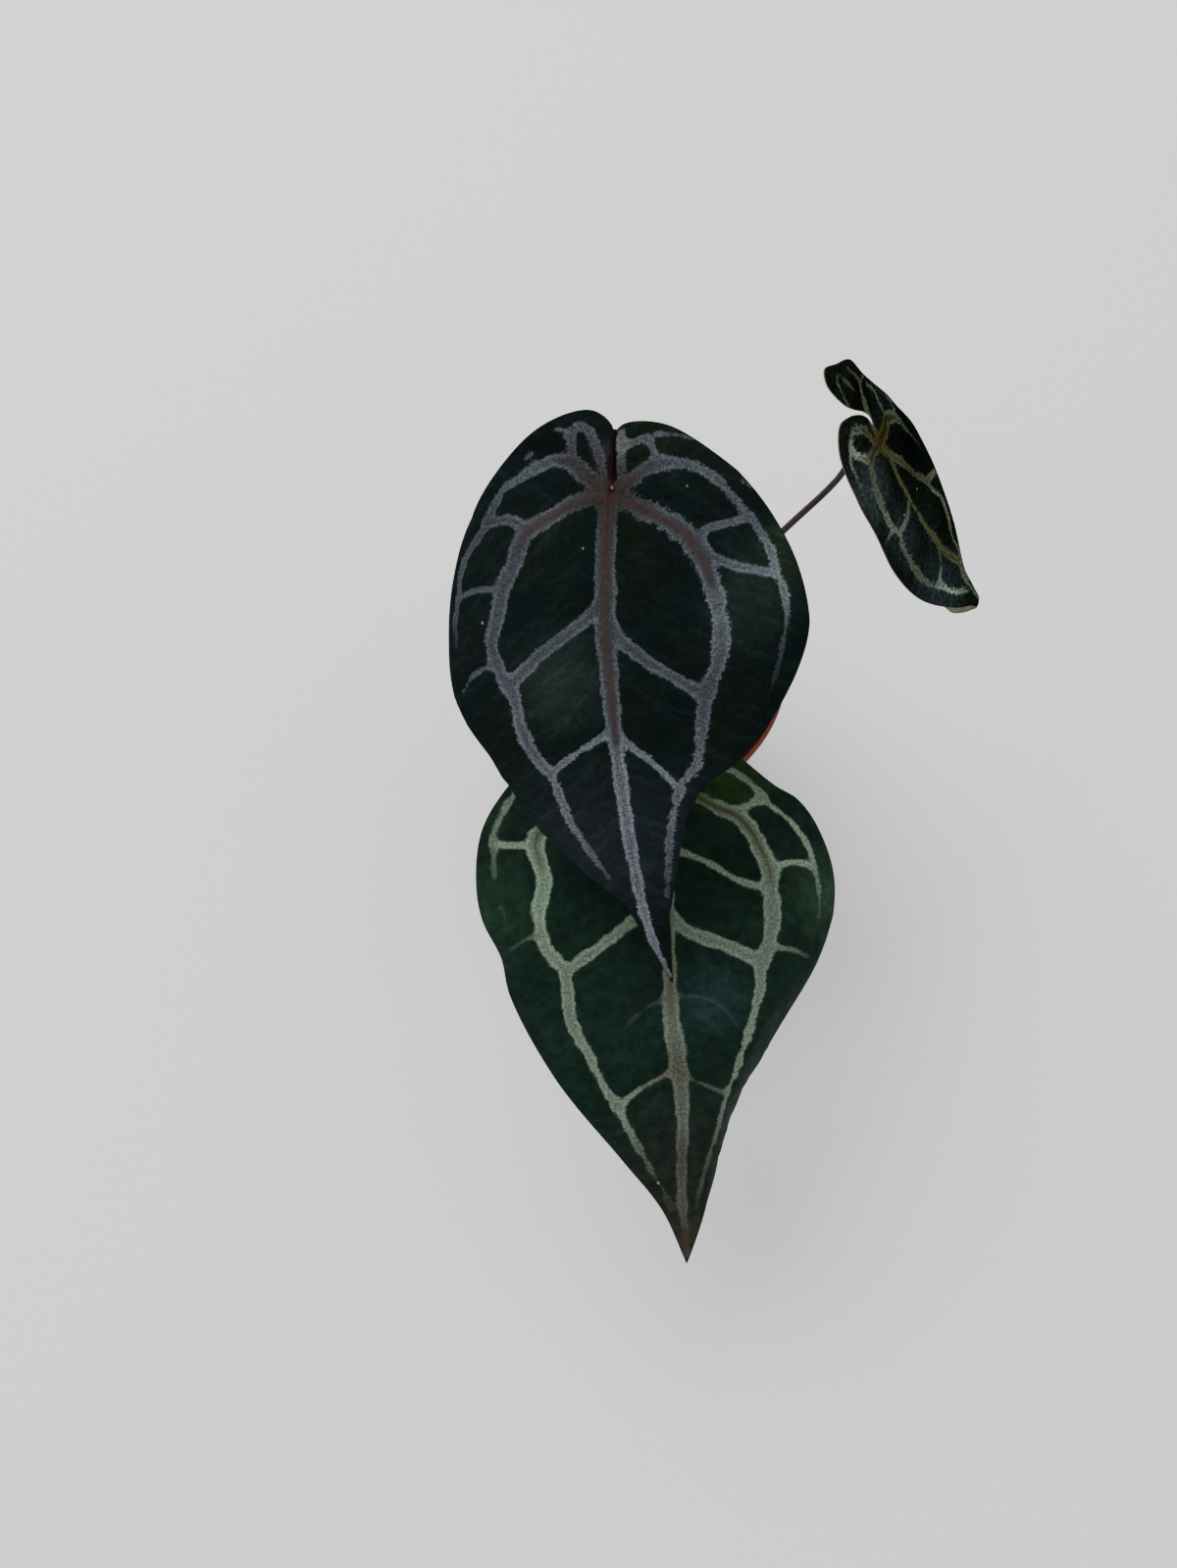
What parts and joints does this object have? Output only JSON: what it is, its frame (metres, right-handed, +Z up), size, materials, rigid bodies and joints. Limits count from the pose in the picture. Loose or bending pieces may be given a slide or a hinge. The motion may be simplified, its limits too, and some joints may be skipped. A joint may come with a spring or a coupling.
{
  "type": "potted anthurium",
  "caption": "Potted velvet-leaf anthurium: dark heart-shaped leaves with silver veins on slim stalks, rooted in bark mix in a small round nursery pot.",
  "frame": {"origin": "centre of the pot's foot ring, where the pot stands on its surface", "axes": "+Z up along the pot's axis; the large leaves hang over the front towards -Y; +X is to the viewer's right, where the small leaf is"},
  "size_m": [0.1065, 0.1626, 0.1594],
  "materials": {
    "pot_plastic": "satin",
    "mix": "matte",
    "crown": "satin",
    "sheath": "matte",
    "stalk_green": "satin",
    "stalk_purple": "satin",
    "leaf_dark": "satin",
    "leaf_green": "satin",
    "leaf_young": "satin"
  },
  "bodies": {
    "root": {"pot": "pot_plastic", "potting_mix": "mix", "crown": "crown", "cataphylls": "sheath", "petiole_upper": "stalk_green", "petiole_lower": "stalk_green", "petiole_small": "stalk_purple", "leaf_upper": "leaf_dark", "leaf_lower": "leaf_green", "leaf_small": "leaf_young"}
  },
  "joints": []
}
